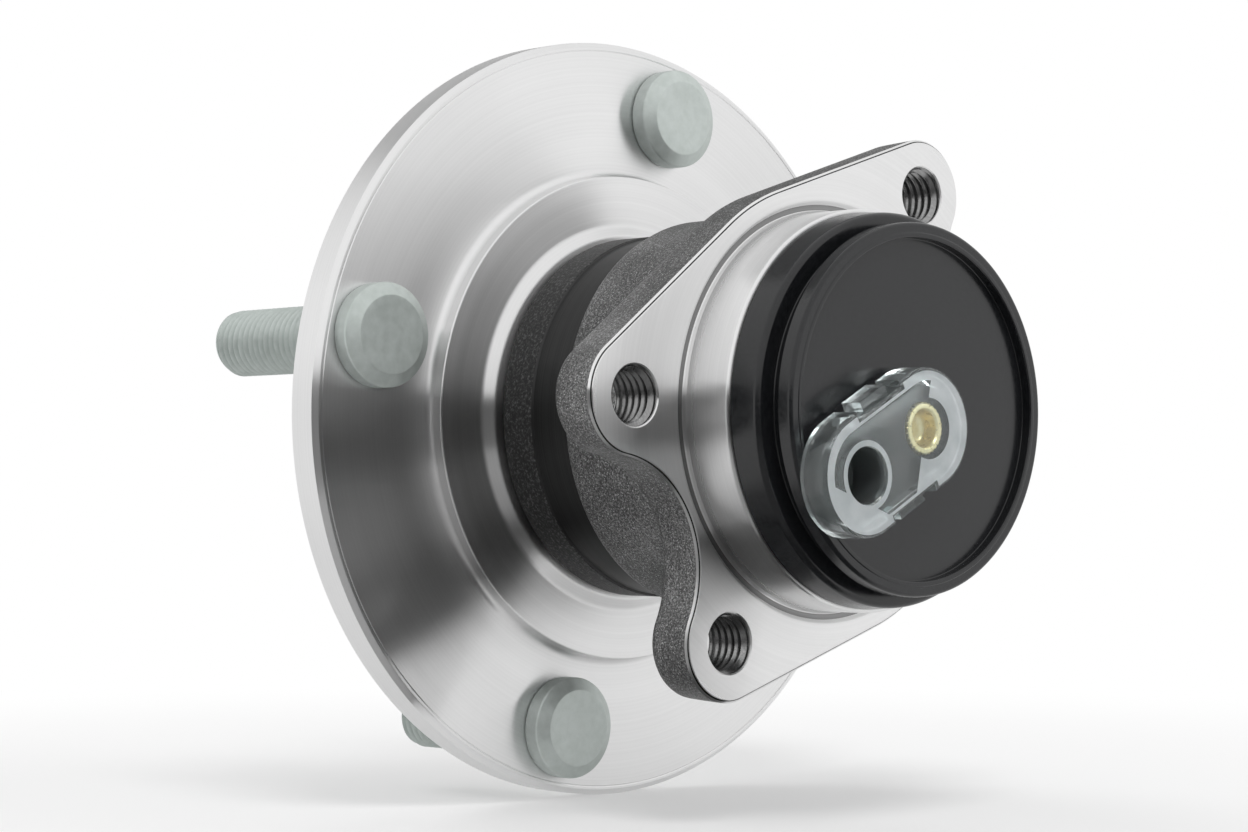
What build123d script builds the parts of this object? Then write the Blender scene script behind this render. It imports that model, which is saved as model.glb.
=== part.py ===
from build123d import *
import math
import os

# Wheel hub bearing, third generation, for a wheel that isn't driven.
# Millimetres. The origin is on the spin axis, in the face that the wheel seats on.
# +Y points out of the car, +Z is up. Depth d is measured inboard, so Y = -d.

# Wheel flange and its studs
flange_thickness = 7.2
flange_edge_chamfer = 0.9
step_radius = 43.9
step_depth = 10.5
step_root_round = 1.9
step_edge_round = 0.3
bolt_circle = 114.3
bolt_circle_to_rim = 11.35
stud_count = 4
stud_angle = 166.8
stud_thread_radius = 5.9
stud_length = 32.5
stud_tip_chamfer = 1.2
knurl_radius = 6.3
knurl_teeth = 24
knurl_depth = 0.3
head_radius = 9.0
head_thickness = 4.6
head_flat_radius = 6.7
head_chamfer_depth = 1.2
head_edge_round = 0.5

# Wheel pilot on the outboard face
pilot_radius = 33.4
pilot_height = 9.0
pilot_chamfer = 1.5
pilot_relief_width = 2.0
pilot_relief_depth = 0.6
dish_mouth_radius = 26.0
dish_floor_radius = 15.0
dish_depth = 13.0
dish_floor_round = 4.0
dish_mouth_round = 1.0
centre_drill_radius = 3.2
centre_drill_depth = 3.4

# Shoulder and seal land of the hub
shoulder_root_radius = 34.8
shoulder_radius = 33.0
shoulder_depth = 12.0
shoulder_root_round = 1.2
shoulder_edge_round = 0.8
seal_land_radius = 23.0
seal_land_run_out = 1.5

# Balls and raceways
ball_radius = 4.7625
ball_count = 12
pitch_radius = 24.0
outboard_row_depth = 25.0
row_spacing = 25.5
race_clearance = 0.06
inner_shoulder_radius = 21.5
inner_land_radius = 20.4
outer_land_radius = 26.0
outer_open_radius = 27.9

# Cages
cage_depth = 2.4
cage_back = 1.8
cage_claw_reach = 2.4
claw_slot_width = 0.9
claw_slot_depth = 1.6
pocket_clearance = 0.12

# Pressed inner ring and the roll-formed spindle end
seat_radius = 14.0
inner_ring_width = 21.0
row_to_ring_end = 11.5
ring_chamfer = 0.8
formed_head_radius = 18.6
formed_head_height = 2.6
formed_head_taper = 1.0
formed_head_round = 1.5
formed_head_dish = 0.8
spindle_bore_radius = 6.5
spindle_bore_depth = 12.0
spindle_bore_tip = 3.0
spindle_mouth_round = 1.0

# Outer ring, its mounting flange and its spigot
barrel_radius = 32.3
barrel_start = 13.2
barrel_groove_depth = 0.4
barrel_groove_start = 20.5
barrel_edge_chamfer = 0.4
forging_start = 30.5
forging_lead_in = 1.2
forging_round = 1.0
forging_rear_round = 1.5
forging_radius = 34.2
forging_rear_radius = 36.2
row_to_mount_face = 10.1
mount_flange_thickness = 10.0
mount_turn = 27.9
mount_half_long = 39.1
mount_half_short = 22.75
mount_boss_radius = 38.8
mount_waist_radius = 37.6
mount_ear_radius = 9.8
mount_hole_radius = 5.0
mount_hole_chamfer = 0.2
mount_edge_chamfer = 0.9
mount_rear_round = 2.4
spigot_radius = 33.8
spigot_length = 9.3
spigot_relief_width = 2.0
spigot_relief_depth = 0.7
spigot_chamfer = 0.5
open_bore_length = 7.0
open_bore_taper = 1.0

# Outboard seal
seal_bore_radius = 29.4
seal_bore_depth = 5.2
seal_wall = 0.8
seal_case_round = 0.5
seal_case_inset = 0.3
seal_gap = 0.3
flinger_wall = 0.6
flinger_radius = 28.2
flinger_root_round = 0.3
case_lip_radius = 25.6
lip_thickness = 0.8
lip_tip = 0.4
lip_web = 1.0
lip_reach = 1.7
face_lip_inset = 0.6

# Encoder
encoder_radius = 27.2
encoder_plate = 0.8
encoder_thickness = 1.4
encoder_inner_radius = 22.3
encoder_end_clearance = 0.2
encoder_sleeve = 5.0
encoder_edge_round = 0.3

# Cap
cap_bore_radius = 28.9
cap_gap_to_encoder = 0.9
sleeve_wall = 0.9
sleeve_overlap = 4.5
skirt_wall = 1.9
cap_radius = 33.2
cap_band = 5.8
cap_band_draft = 0.4
cap_groove_width = 2.5
cap_groove_radius = 29.2
cap_upper_radius = 30.9
cap_height = 11.2
cap_rim_inner_radius = 28.3
cap_recess = 1.7
cap_floor = 2.4
cap_edge_round = 1.0
cap_band_round = 1.0
cap_rim_round = 0.3
cap_corner_round = 1.5
o_ring_section = 0.66
o_ring_clearance = 0.02

# Sensor port and its screw insert
port_orbit = 22.1
insert_orbit = 5.5
port_line_offset = 0.8
pad_radius = 9.4
pad_height = 2.0
block_radius = 7.2
block_height = 5.8
block_chamfer = 0.4
port_radius = 5.3
port_wall = 1.4
insert_radius = 4.4
insert_length = 7.0
insert_thread_radius = 3.0
insert_teeth = 30
insert_tooth_depth = 0.25
insert_rise = 0.4

# Clear cover over the port
cover_gap = 0.15
cover_wall = 1.1
cover_radius = 10.0
cover_waist_length = 11.0
cover_waist_depth = 1.1
cover_roof = 1.1
cover_edge_round = 0.7
plug_wall = 0.6
plug_length = 8.0
plug_gap = 0.1
tab_width = 6.5
tab_thickness = 1.6
tab_rise = 4.0
tab_sink = 0.2
tab_round = 0.3

# Worked out from the sizes above
flange_radius = bolt_circle / 2 + bolt_circle_to_rim
inboard_row_depth = outboard_row_depth + row_spacing
mount_face_depth = inboard_row_depth + row_to_mount_face
inner_ring_end = inboard_row_depth + row_to_ring_end
inner_ring_start = inner_ring_end - inner_ring_width
race_radius = ball_radius + race_clearance
spigot_end = mount_face_depth + spigot_length
sleeve_inner_radius = cap_bore_radius - sleeve_wall
encoder_face = inner_ring_end + encoder_end_clearance + encoder_plate + encoder_thickness
skirt_start = encoder_face + cap_gap_to_encoder
cap_top = spigot_end + cap_height
cap_floor_depth = cap_top - cap_recess
block_top = cap_floor_depth + block_height
pad_top = cap_floor_depth + pad_height
cover_top = block_top + insert_rise + cover_gap + cover_roof
cover_foot = pad_top + cover_gap
seal_case_front = barrel_start + seal_case_inset
seal_case_back = barrel_start + seal_bore_depth
o_ring_seat = (o_ring_section + o_ring_clearance) * (2 + math.sqrt(2))
port_turn = 180.0 + mount_turn

# Parallel to the wheel face, seen from inboard: x is +X and y is +Z
facing = Plane.XZ


def turned(corners):
    """Solid of revolution about the spin axis from (radius, depth) corners.
    A corner's third number is the radius that it is rounded to."""
    face = make_face(Polyline(*[(corner[0], -corner[1]) for corner in corners], close=True))
    for corner in corners:
        if len(corner) > 2:
            spot = (corner[0], -corner[1], 0)
            face = fillet(face.vertices().sort_by_distance(spot)[0], corner[2])
    return revolve(face, Axis.Y)


def place(radius, angle, depth):
    """Point on a circle about the spin axis; the angle runs from +X to +Z."""
    turn = math.radians(angle)
    return Pos(radius * math.cos(turn), -depth, radius * math.sin(turn))


def rod(radius, depth, length):
    """Cylinder about the Y direction through the origin, from depth inboard."""
    return extrude(facing.offset(depth) * Circle(radius), length)


def save(solid, name):
    export_step(solid, f"parts/{name}.step")


def ball_positions(depth):
    """Places of the balls of one row."""
    return [place(pitch_radius, 360 * (i + 0.5) / ball_count, depth) for i in range(ball_count)]


def race(depth):
    """Ring-shaped groove that the balls of one row run in."""
    section = Plane.XY * Pos(pitch_radius, -depth) * Circle(race_radius)
    return revolve(section, Axis.Y)


def toothed_disc(radius, teeth, tooth_depth):
    """Outline of a knurl: a circle with small pointed teeth."""
    points = []
    for i in range(teeth):
        for share, reach in ((0, radius), (0.5, radius - tooth_depth)):
            turn = 2 * math.pi * (i + share) / teeth
            points.append((reach * math.cos(turn), reach * math.sin(turn)))
    return make_face(Polyline(*points, close=True))


def on_port_line(along):
    """Point on the line of the port and its insert, which passes a little beside the axis."""
    aside = math.degrees(math.atan2(port_line_offset, along))
    return place(math.hypot(along, port_line_offset), port_turn + aside, 0)


def oblong(radius):
    """Rounded outline round the centres of the port and the insert."""
    ends = [Pos(orbit, port_line_offset) * Circle(radius) for orbit in (insert_orbit, port_orbit)]
    return Rot(0, 0, port_turn) * make_hull([end.edge() for end in ends])


def waisted(radius, waist_length):
    """The rounded outline with a shallow recess in the middle of both long sides."""
    outline = oblong(radius)
    for side in (-1, 1):
        middle = Pos((insert_orbit + port_orbit) / 2, port_line_offset + side * radius)
        outline -= Rot(0, 0, port_turn) * middle * Rectangle(waist_length, 2 * cover_waist_depth)
    return outline


def make_hub():
    """Wheel flange, pilot, seal land, outboard raceway and spindle in one forging."""
    seal_land_end = barrel_start + seal_bore_depth
    head_end = inner_ring_end + formed_head_height
    body = turned(
        [
            (0, dish_depth), (dish_floor_radius, dish_depth, dish_floor_round),
            (dish_mouth_radius, -pilot_height, dish_mouth_round),
            (pilot_radius - pilot_chamfer, -pilot_height),
            (pilot_radius, pilot_chamfer - pilot_height), (pilot_radius, -pilot_relief_width),
            (pilot_radius - pilot_relief_depth, -pilot_relief_width),
            (pilot_radius - pilot_relief_depth, pilot_relief_depth),
            (pilot_radius + pilot_relief_width, pilot_relief_depth), (pilot_radius + pilot_relief_width, 0),
            (flange_radius - flange_edge_chamfer, 0), (flange_radius, flange_edge_chamfer),
            (flange_radius, flange_thickness - flange_edge_chamfer),
            (flange_radius - flange_edge_chamfer, flange_thickness),
            (step_radius, flange_thickness, step_root_round), (step_radius, step_depth, step_edge_round),
            (shoulder_root_radius, step_depth, shoulder_root_round),
            (shoulder_radius, shoulder_depth, shoulder_edge_round),
            (seal_land_radius, shoulder_depth), (seal_land_radius, seal_land_end),
            (inner_shoulder_radius, seal_land_end + seal_land_run_out),
            (inner_shoulder_radius, outboard_row_depth), (inner_land_radius, outboard_row_depth),
            (inner_land_radius, inner_ring_start), (seat_radius, inner_ring_start),
            (seat_radius, inner_ring_end), (formed_head_radius, inner_ring_end),
            (formed_head_radius - formed_head_taper, head_end, formed_head_round),
            (spindle_bore_radius, head_end - formed_head_dish, spindle_mouth_round),
            (spindle_bore_radius, inner_ring_end - spindle_bore_depth),
            (0, inner_ring_end - spindle_bore_depth - spindle_bore_tip),
        ]
    )
    body -= race(outboard_row_depth)
    body -= turned([(0, dish_depth), (centre_drill_radius, dish_depth), (0, dish_depth + centre_drill_depth)])
    for i in range(stud_count):
        spot = place(bolt_circle / 2, stud_angle + 360 * i / stud_count, 0)
        body -= spot * rod(knurl_radius, 0, flange_thickness)
    return body


def make_stud():
    """Wheel stud: chamfered head, knurled neck pressed in the flange, threaded shank."""
    shank = rod(stud_thread_radius, -stud_length, stud_length)
    shank = chamfer(shank.edges().sort_by(Axis.Y)[-1], stud_tip_chamfer)
    knurl = extrude(facing * toothed_disc(knurl_radius, knurl_teeth, knurl_depth), flange_thickness)
    head_end = flange_thickness + head_thickness
    head = turned(
        [
            (0, flange_thickness), (head_radius, flange_thickness),
            (head_radius, head_end - head_chamfer_depth, head_edge_round), (head_flat_radius, head_end),
            (0, head_end),
        ]
    )
    return shank + knurl + head


def make_inner_ring():
    """Inner ring of the inboard row, pressed on the spindle."""
    ring = turned(
        [
            (seat_radius, inner_ring_start + ring_chamfer), (seat_radius + ring_chamfer, inner_ring_start),
            (inner_land_radius, inner_ring_start), (inner_land_radius, inboard_row_depth),
            (inner_shoulder_radius, inboard_row_depth),
            (inner_shoulder_radius, inner_ring_end - ring_chamfer / 2),
            (inner_shoulder_radius - ring_chamfer / 2, inner_ring_end),
            (seat_radius + ring_chamfer, inner_ring_end), (seat_radius, inner_ring_end - ring_chamfer),
        ]
    )
    return ring - race(inboard_row_depth)


def mount_outline():
    """Outline of the mounting flange: a round boss, four ears, straight long sides
    and hollowed short sides, all tangent. Its long side lies along x."""
    ear_distance = math.hypot(mount_half_long, mount_half_short)
    ear_angle = math.atan2(mount_half_short, mount_half_long)
    side_angle = ear_angle + math.acos((mount_boss_radius - mount_ear_radius) / ear_distance)
    ear = Vector(mount_half_long, mount_half_short)
    side = Vector(math.cos(side_angle), math.sin(side_angle))
    overlap = mount_ear_radius - mount_waist_radius
    hollow_x = (ear_distance**2 - overlap**2) / (2 * (mount_half_long + overlap))
    hollow = Vector(hollow_x, 0)
    hollow_radius = hollow_x - mount_waist_radius
    towards_hollow = (hollow - ear).normalized()
    boss_end = side * mount_boss_radius
    ear_start = ear + side * mount_ear_radius
    ear_end = ear + towards_hollow * mount_ear_radius
    ear_middle = ear + (side + towards_hollow).normalized() * mount_ear_radius
    boss_middle = (side + Vector(0, 1)).normalized() * mount_boss_radius
    hollow_middle = hollow - (towards_hollow + Vector(1, 0)).normalized() * hollow_radius
    quarter = make_face(
        [
            Line((0, 0), (mount_waist_radius, 0)),
            ThreePointArc((mount_waist_radius, 0), hollow_middle, ear_end),
            ThreePointArc(ear_end, ear_middle, ear_start),
            Line(ear_start, boss_end),
            ThreePointArc(boss_end, boss_middle, (0, mount_boss_radius)),
            Line((0, mount_boss_radius), (0, 0)),
        ]
    )
    half = quarter + mirror(quarter, Plane.YZ)
    return half + mirror(half, Plane.XZ)


def make_outer_ring():
    """Outer ring: turned barrel, forged mounting flange, spigot, bore and two raceways."""
    rear_depth = mount_face_depth - mount_flange_thickness
    turned_face = Rot(0, 0, mount_turn)
    plate = extrude(facing.offset(rear_depth) * turned_face * mount_outline(), mount_flange_thickness)
    plate = fillet(plate.faces().sort_by(Axis.Y)[-1].edges(), mount_rear_round)
    plate = chamfer(plate.faces().sort_by(Axis.Y)[0].edges(), mount_edge_chamfer)
    groove_radius = barrel_radius - barrel_groove_depth
    relief_floor = mount_face_depth - spigot_relief_depth
    relief_radius = spigot_radius + spigot_relief_width
    relief_root = spigot_radius + spigot_relief_depth / 2
    barrel = turned(
        [
            (0, barrel_start), (barrel_radius - barrel_edge_chamfer, barrel_start),
            (barrel_radius, barrel_start + barrel_edge_chamfer), (barrel_radius, barrel_groove_start),
            (groove_radius, barrel_groove_start + barrel_groove_depth),
            (groove_radius, forging_start, forging_round),
            (forging_radius, forging_start + forging_lead_in, forging_rear_round),
            (forging_rear_radius, rear_depth), (forging_rear_radius, relief_floor),
            (relief_root, relief_floor), (spigot_radius, mount_face_depth),
            (spigot_radius, spigot_end - spigot_chamfer),
            (spigot_radius - spigot_chamfer, spigot_end), (0, spigot_end),
        ]
    )
    relief = turned(
        [
            (0, relief_floor), (relief_radius - spigot_relief_depth, relief_floor),
            (relief_radius, mount_face_depth), (0, mount_face_depth),
        ]
    )
    seal_end = barrel_start + seal_bore_depth
    open_end = inboard_row_depth + open_bore_length
    bore = turned(
        [
            (0, barrel_start), (seal_bore_radius, barrel_start), (seal_bore_radius, seal_end),
            (outer_open_radius, seal_end), (outer_open_radius, outboard_row_depth),
            (outer_land_radius, outboard_row_depth), (outer_land_radius, inboard_row_depth),
            (outer_open_radius, inboard_row_depth), (outer_open_radius, open_end),
            (cap_bore_radius, open_end + open_bore_taper), (cap_bore_radius, spigot_end - o_ring_seat),
            (cap_bore_radius + o_ring_seat, spigot_end), (0, spigot_end),
        ]
    )
    ring = plate - relief + barrel - bore - race(outboard_row_depth) - race(inboard_row_depth)
    for x, z in [(i * mount_half_long, j * mount_half_short) for i in (-1, 1) for j in (-1, 1)]:
        spot = facing.offset(rear_depth) * turned_face * Pos(x, z)
        mouth = facing.offset(mount_face_depth - mount_hole_chamfer) * turned_face * Pos(x, z)
        ring -= extrude(spot * Circle(mount_hole_radius), mount_flange_thickness)
        ring -= extrude(mouth * Circle(mount_hole_radius), mount_hole_chamfer, taper=-45)
    return ring


def make_balls(depth):
    """One row of balls, as separate solids."""
    return Compound([spot * Sphere(ball_radius) for spot in ball_positions(depth)])


def make_cage(depth, towards):
    """Snap-in cage of one row: a ring on one side, and open pockets with claws on the other.
    towards is +1 where the ring lies inboard of the balls and -1 where it lies outboard."""
    claw_end = depth - towards * cage_claw_reach
    back = depth + towards * (ball_radius + cage_back)
    cage = turned(
        [
            (pitch_radius - cage_depth / 2, claw_end), (pitch_radius + cage_depth / 2, claw_end),
            (pitch_radius + cage_depth / 2, back), (pitch_radius - cage_depth / 2, back),
        ]
    )
    for spot in ball_positions(depth):
        cage -= spot * Sphere(ball_radius + pocket_clearance)
    for i in range(ball_count):
        slot = place(pitch_radius, 360 * i / ball_count, claw_end)
        turn = Rot(0, -360 * i / ball_count, 0)
        cage -= slot * turn * Box(2 * cage_depth, 2 * claw_slot_depth, claw_slot_width)
    return cage


def make_flinger():
    """Angle-section steel ring, pressed on the seal land; the seal lips run on it."""
    outer = seal_land_radius + flinger_wall
    return turned(
        [
            (seal_land_radius, shoulder_depth), (flinger_radius, shoulder_depth),
            (flinger_radius, shoulder_depth + flinger_wall),
            (outer, shoulder_depth + flinger_wall, flinger_root_round), (outer, seal_case_back),
            (seal_land_radius, seal_case_back),
        ]
    )


def make_seal_case():
    """Steel stiffener of the seal, pressed in the outer ring."""
    inner = seal_bore_radius - seal_wall
    return turned(
        [
            (seal_bore_radius, seal_case_front), (seal_bore_radius, seal_case_back, seal_case_round),
            (case_lip_radius, seal_case_back), (case_lip_radius, seal_case_back - seal_wall),
            (inner, seal_case_back - seal_wall), (inner, seal_case_front),
        ]
    )


def make_seal_lip():
    """Rubber bonded to the case: a face lip, a dust lip and a grease lip."""
    case_inner = seal_bore_radius - seal_wall
    floor = seal_case_back - seal_wall
    web = floor - lip_web
    run = seal_land_radius + flinger_wall + seal_gap
    face = shoulder_depth + flinger_wall + seal_gap
    face_lip = flinger_radius - face_lip_inset
    return turned(
        [
            (case_inner, floor), (case_lip_radius, floor), (case_lip_radius, seal_case_back),
            (run + lip_thickness, seal_case_back), (run, seal_case_back - lip_tip / 2),
            (run, seal_case_back - lip_tip), (run + lip_thickness, floor - lip_tip / 2),
            (run + lip_thickness, web + lip_tip), (run, floor - lip_reach),
            (run, floor - lip_reach - lip_tip), (run + lip_web + lip_tip, web),
            (case_inner - 2 * lip_thickness, web), (face_lip - lip_tip, face + lip_tip / 2),
            (face_lip, face), (face_lip + lip_tip / 2, face + lip_tip / 2),
            (case_inner - lip_thickness, web), (case_inner, web),
        ]
    )


def make_encoder_carrier():
    """Angle-section steel ring, pressed on the shoulder of the inner ring."""
    face = encoder_face - encoder_thickness
    back = face - encoder_plate
    sleeve_end = face - encoder_sleeve
    return turned(
        [
            (inner_shoulder_radius, sleeve_end), (encoder_inner_radius, sleeve_end),
            (encoder_inner_radius, back), (encoder_radius, back), (encoder_radius, face),
            (inner_shoulder_radius, face),
        ]
    )


def make_encoder_ring():
    """Magnetised rubber ring that the speed sensor reads, bonded to its carrier."""
    front = encoder_face - encoder_thickness
    return turned(
        [
            (encoder_inner_radius, front), (encoder_radius, front),
            (encoder_radius, encoder_face, encoder_edge_round),
            (encoder_inner_radius, encoder_face, encoder_edge_round),
        ]
    )


def make_cap_sleeve():
    """Steel sleeve moulded into the cap; it is pressed in the bore of the outer ring."""
    sleeve_end = spigot_end + sleeve_overlap
    return turned(
        [
            (sleeve_inner_radius, skirt_start), (cap_bore_radius, skirt_start),
            (cap_bore_radius, sleeve_end), (sleeve_inner_radius, sleeve_end),
        ]
    )


def make_cap():
    """Moulded cap with a grooved wall, a recessed floor, the sensor seat and its port tube."""
    skirt_inner = sleeve_inner_radius - skirt_wall
    under_floor = cap_floor_depth - cap_floor
    groove_start = spigot_end + cap_band
    groove_end = groove_start + cap_groove_width
    shell = turned(
        [
            (sleeve_inner_radius, skirt_start), (sleeve_inner_radius, spigot_end), (cap_radius, spigot_end),
            (cap_radius - cap_band_draft, groove_start, cap_band_round), (cap_groove_radius, groove_start),
            (cap_groove_radius, groove_end), (cap_upper_radius, groove_end),
            (cap_upper_radius, cap_top, cap_edge_round), (cap_rim_inner_radius, cap_top, cap_rim_round),
            (cap_rim_inner_radius, cap_floor_depth), (0, cap_floor_depth), (0, under_floor),
            (skirt_inner, under_floor, cap_corner_round), (skirt_inner, skirt_start),
        ]
    )
    below = facing.offset(under_floor)
    at_port = on_port_line(port_orbit)
    skirt_length = under_floor - skirt_start
    inside = rod(sleeve_inner_radius, skirt_start, skirt_length)
    within = rod(cap_upper_radius - cap_edge_round, under_floor, pad_top - under_floor)
    tube = at_port * rod(port_radius + port_wall, skirt_start, skirt_length)
    pad = extrude(below * oblong(pad_radius), pad_top - under_floor)
    block = extrude(below * oblong(block_radius), block_top - under_floor)
    block = chamfer(block.faces().sort_by(Axis.Y)[0].edges(), block_chamfer)
    cap = shell + (tube & inside) + (pad & within) + block - make_cap_sleeve()
    cap -= at_port * rod(port_radius, skirt_start, block_top - skirt_start)
    pocket = block_top + insert_rise - insert_length
    cap -= on_port_line(insert_orbit) * rod(insert_radius, pocket, insert_length)
    return cap


def make_o_ring():
    """Rubber ring in the chamfer of the outer ring, behind the cap."""
    centre = o_ring_section + o_ring_clearance
    section = Plane.XY * Pos(cap_bore_radius + centre, centre - spigot_end) * Circle(o_ring_section)
    return revolve(section, Axis.Y)


def make_insert():
    """Knurled brass insert for the screw that holds the sensor."""
    start = block_top + insert_rise - insert_length
    outline = toothed_disc(insert_radius, insert_teeth, insert_tooth_depth) - Circle(insert_thread_radius)
    insert = extrude(facing.offset(start) * outline, insert_length)
    return on_port_line(insert_orbit) * insert


def make_cover():
    """Clear cover over the sensor seat: a waisted cup with a hollow plug and two clip lugs."""
    length = cover_top - cover_foot
    foot = facing.offset(cover_foot)
    cup = extrude(foot * waisted(cover_radius, cover_waist_length), length)
    cup = fillet(cup.faces().sort_by(Axis.Y)[0].edges(), cover_edge_round)
    inner = waisted(cover_radius - cover_wall, cover_waist_length + 2 * cover_wall)
    cup -= extrude(foot * inner, length - cover_roof)
    plug_radius = port_radius - plug_gap
    at_port = on_port_line(port_orbit)
    plug_end = cover_top - plug_length
    cup += at_port * rod(plug_radius, plug_end, plug_length)
    cup -= at_port * rod(plug_radius - plug_wall, plug_end + plug_wall, plug_length)
    middle = (insert_orbit + port_orbit) / 2
    tab = RectangleRounded(tab_width, tab_thickness + tab_sink, tab_round)
    tab_offset = cover_radius - cover_waist_depth + (tab_thickness - tab_sink) / 2
    for side in (-1, 1):
        spot = Rot(0, 0, port_turn) * Pos(middle, port_line_offset + side * tab_offset)
        cup += extrude(foot * spot * tab, tab_rise)
    return cup


os.makedirs("parts", exist_ok=True)
save(make_hub(), "hub_flange")
for i in range(stud_count):
    spot = place(bolt_circle / 2, stud_angle + 360 * i / stud_count, 0)
    save(spot * make_stud(), f"wheel_stud_{i + 1}")
save(make_inner_ring(), "inner_ring")
save(make_outer_ring(), "outer_ring")
save(make_balls(outboard_row_depth), "outboard_balls")
save(make_balls(inboard_row_depth), "inboard_balls")
save(make_cage(outboard_row_depth, 1), "outboard_cage")
save(make_cage(inboard_row_depth, -1), "inboard_cage")
save(make_flinger(), "seal_flinger")
save(make_seal_case(), "seal_case")
save(make_seal_lip(), "seal_lip")
save(make_encoder_carrier(), "encoder_carrier")
save(make_encoder_ring(), "encoder_ring")
save(make_cap_sleeve(), "cap_sleeve")
save(make_cap(), "end_cap")
save(make_o_ring(), "cap_o_ring")
save(make_insert(), "sensor_insert")
save(make_cover(), "port_cover")
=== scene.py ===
import math

import bmesh
import bpy
import numpy as np
from mathutils import Matrix, Vector


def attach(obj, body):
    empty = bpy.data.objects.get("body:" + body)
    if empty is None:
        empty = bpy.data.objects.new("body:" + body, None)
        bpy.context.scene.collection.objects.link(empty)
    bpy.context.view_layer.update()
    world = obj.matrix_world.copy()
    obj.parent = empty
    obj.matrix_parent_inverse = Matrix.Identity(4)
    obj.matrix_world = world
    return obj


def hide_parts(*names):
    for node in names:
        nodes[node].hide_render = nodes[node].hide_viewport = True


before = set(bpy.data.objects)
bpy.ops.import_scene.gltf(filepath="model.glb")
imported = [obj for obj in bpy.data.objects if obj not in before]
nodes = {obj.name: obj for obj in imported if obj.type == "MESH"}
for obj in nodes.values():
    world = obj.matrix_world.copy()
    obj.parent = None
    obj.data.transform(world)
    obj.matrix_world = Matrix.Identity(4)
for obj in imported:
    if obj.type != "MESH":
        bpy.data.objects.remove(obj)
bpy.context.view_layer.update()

MM = 0.001


# Hub. One forging that carries the wheel flange, the pilot, the outboard raceway and
# the spindle. It is turned all over, so its faces have fine rings round the spin axis.

def rounded(corners, edge=0.2):
    """Closed outline of (radius, depth) points. A corner may give its own round as a third number."""
    points = []
    for i, corner in enumerate(corners):
        here = np.array(corner[:2], float)
        before = np.array(corners[i - 1][:2], float) - here
        after = np.array(corners[(i + 1) % len(corners)][:2], float) - here
        radius = corner[2] if len(corner) > 2 else edge
        if here[0] < 1e-6 or radius <= 0:
            points.append(here)
            continue
        reach = min(np.linalg.norm(before), np.linalg.norm(after)) * 0.48
        before, after = before / np.linalg.norm(before), after / np.linalg.norm(after)
        half = math.acos(np.clip(before @ after, -1, 1)) / 2
        if half > math.radians(88):
            points.append(here)
            continue
        setback = min(radius / math.tan(half), reach * 0.8)
        radius = setback * math.tan(half)
        middle = before + after
        centre = here + middle / np.linalg.norm(middle) * radius / math.sin(half)
        spare = min(0.12, reach - setback)
        points.append(here + before * (setback + spare))
        start = here + before * setback - centre
        turn = math.pi - 2 * half
        steps = max(2, math.ceil(turn / math.radians(14)))
        side = np.sign(start[0] * (here - centre)[1] - start[1] * (here - centre)[0])
        for k in range(steps + 1):
            a = side * turn * k / steps
            spin = np.array([[math.cos(a), -math.sin(a)], [math.sin(a), math.cos(a)]])
            points.append(centre + spin @ start)
        points.append(here + after * (setback + spare))
    return np.array(points)


def raceway(pitch, depth, radius, first, last, steps=14):
    """Points of a ball groove's section, from the land radius first to the land radius last."""
    begin = math.asin((first - pitch) / radius)
    finish = math.asin((last - pitch) / radius)
    start = math.copysign(math.pi, first - pitch) - begin
    turns = np.linspace(start, finish, steps + 1)
    return [(pitch + radius * math.sin(a), depth + radius * math.cos(a), 0) for a in turns]


def circles(outline, steps):
    """Rings round the spin axis through each (radius, depth) point, in metres."""
    turns = np.arange(steps) * 2 * math.pi / steps
    radius, depth = outline[:, :1], outline[:, 1:]
    return np.stack(
        [radius * np.cos(turns), -depth + 0 * turns, radius * np.sin(turns)], axis=-1
    ) * MM


def loft(rings, loop=True):
    """Points and four-sided faces between rings of equal count; loop joins the last ring to the first."""
    count, steps = rings.shape[:2]
    i = np.arange(count if loop else count - 1)[:, None]
    j = np.arange(steps)[None, :]
    a, b = i * steps, (i + 1) % count * steps
    k = (j + 1) % steps
    faces = np.stack([a + j, a + k, b + k, b + j], axis=-1).reshape(-1, 4)
    return rings.reshape(-1, 3), faces


sharp_angle = math.radians(32)


def finish_mesh(mesh):
    """Merges doubles, turns the faces outwards and shades the mesh smooth between sharp edges."""
    work = bmesh.new()
    work.from_mesh(mesh)
    bmesh.ops.remove_doubles(work, verts=work.verts, dist=2e-6)
    bmesh.ops.dissolve_degenerate(work, edges=work.edges, dist=1e-7)
    bmesh.ops.recalc_face_normals(work, faces=work.faces)
    work.to_mesh(mesh)
    work.free()
    mesh.shade_smooth()
    mesh.set_sharp_from_angle(angle=sharp_angle)


def put_in_scene(name, mesh):
    piece = bpy.data.objects.new(name, mesh)
    bpy.context.scene.collection.objects.link(piece)
    return piece


def solid(name, points, faces, materials, which=0):
    """A closed piece; which is the number of its material, or one number for each face."""
    mesh = bpy.data.meshes.new(name)
    mesh.from_pydata(points.tolist(), [], [list(face) for face in faces])
    for material in materials:
        mesh.materials.append(material)
    mesh.polygons.foreach_set("material_index", np.broadcast_to(which, len(faces)).tolist())
    finish_mesh(mesh)
    return put_in_scene(name, mesh)


def bake(piece):
    """Puts the evaluated mesh in the piece and takes its modifiers away."""
    graph = bpy.context.evaluated_depsgraph_get()
    mesh = bpy.data.meshes.new_from_object(piece.evaluated_get(graph))
    piece.modifiers.clear()
    piece.data = mesh
    mesh.name = piece.name


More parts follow.
